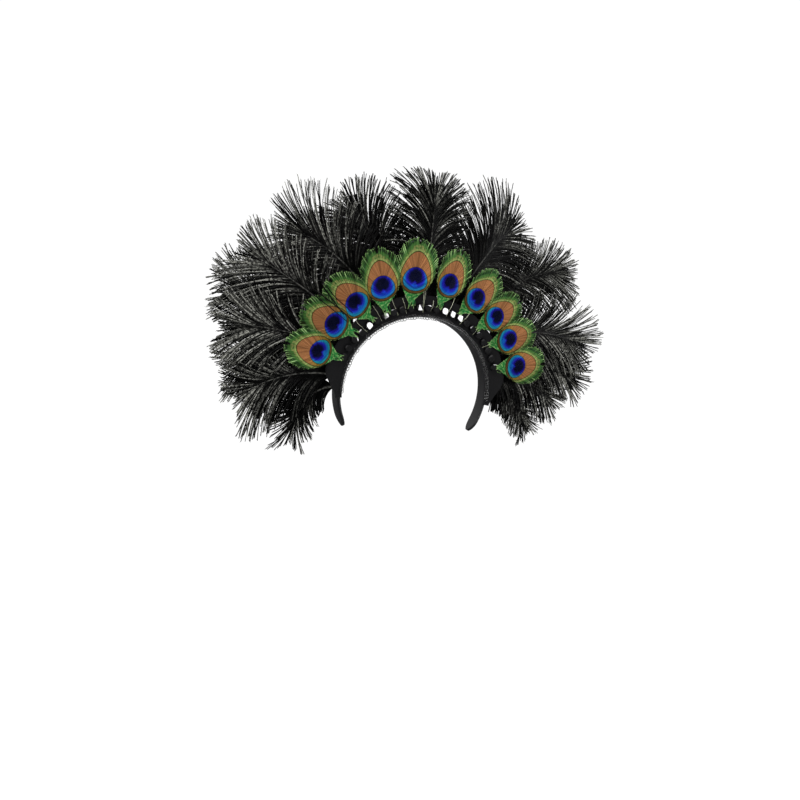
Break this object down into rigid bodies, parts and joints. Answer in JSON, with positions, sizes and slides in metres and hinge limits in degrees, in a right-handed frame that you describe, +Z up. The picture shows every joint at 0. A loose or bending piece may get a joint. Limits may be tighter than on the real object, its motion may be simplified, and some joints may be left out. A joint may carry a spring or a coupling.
{
  "type": "feather headband",
  "caption": "Arched headband with a standing fan of black ostrich plumes, a row of peacock eye feathers and a line of black faceted stones along the front.",
  "frame": {"origin": "middle of the band's inner face at the crown, where the band rests on the top of the head", "axes": "+Z up as worn, -Y towards the wearer's front, +X towards the wearer's left; the band and its fan lean 8.4 degrees forward about X"},
  "size_m": [0.4642, 0.0594, 0.2943],
  "materials": {
    "satin": "black satin wound over the band",
    "felt": "black pressed felt",
    "jet": "opaque black cut glass, polished",
    "ostrich": "dyed black ostrich feather",
    "peacock": "iridescent peacock feather with a copper, blue and violet eye"
  },
  "bodies": {
    "root": {"headband": "satin", "fan_backing": "felt", "jet_stone_01": "jet", "jet_stone_02": "jet", "jet_stone_03": "jet", "jet_stone_04": "jet", "jet_stone_05": "jet", "jet_stone_06": "jet", "jet_stone_07": "jet", "jet_stone_08": "jet", "jet_stone_09": "jet", "jet_stone_10": "jet", "jet_stone_11": "jet", "jet_stone_12": "jet", "jet_stone_13": "jet", "jet_stone_14": "jet", "jet_stone_15": "jet", "jet_stone_16": "jet", "jet_stone_17": "jet", "jet_stone_18": "jet", "jet_stone_19": "jet", "jet_stone_20": "jet", "jet_stone_21": "jet", "jet_stone_22": "jet", "jet_stone_23": "jet", "peacock_left_1": "peacock", "peacock_left_2": "peacock", "peacock_left_3": "peacock", "peacock_left_4": "peacock", "peacock_left_5": "peacock", "peacock_right_1": "peacock", "peacock_right_2": "peacock", "peacock_right_3": "peacock", "peacock_right_4": "peacock", "peacock_right_5": "peacock", "plume_centre": "ostrich", "plume_left_1": "ostrich", "plume_left_2": "ostrich", "plume_left_3": "ostrich", "plume_left_4": "ostrich", "plume_left_5": "ostrich", "plume_left_6": "ostrich", "plume_right_1": "ostrich", "plume_right_2": "ostrich", "plume_right_3": "ostrich", "plume_right_4": "ostrich", "plume_right_5": "ostrich", "plume_right_6": "ostrich", "plume_right_7": "ostrich", "plume_right_8": "ostrich"}
  },
  "joints": []
}
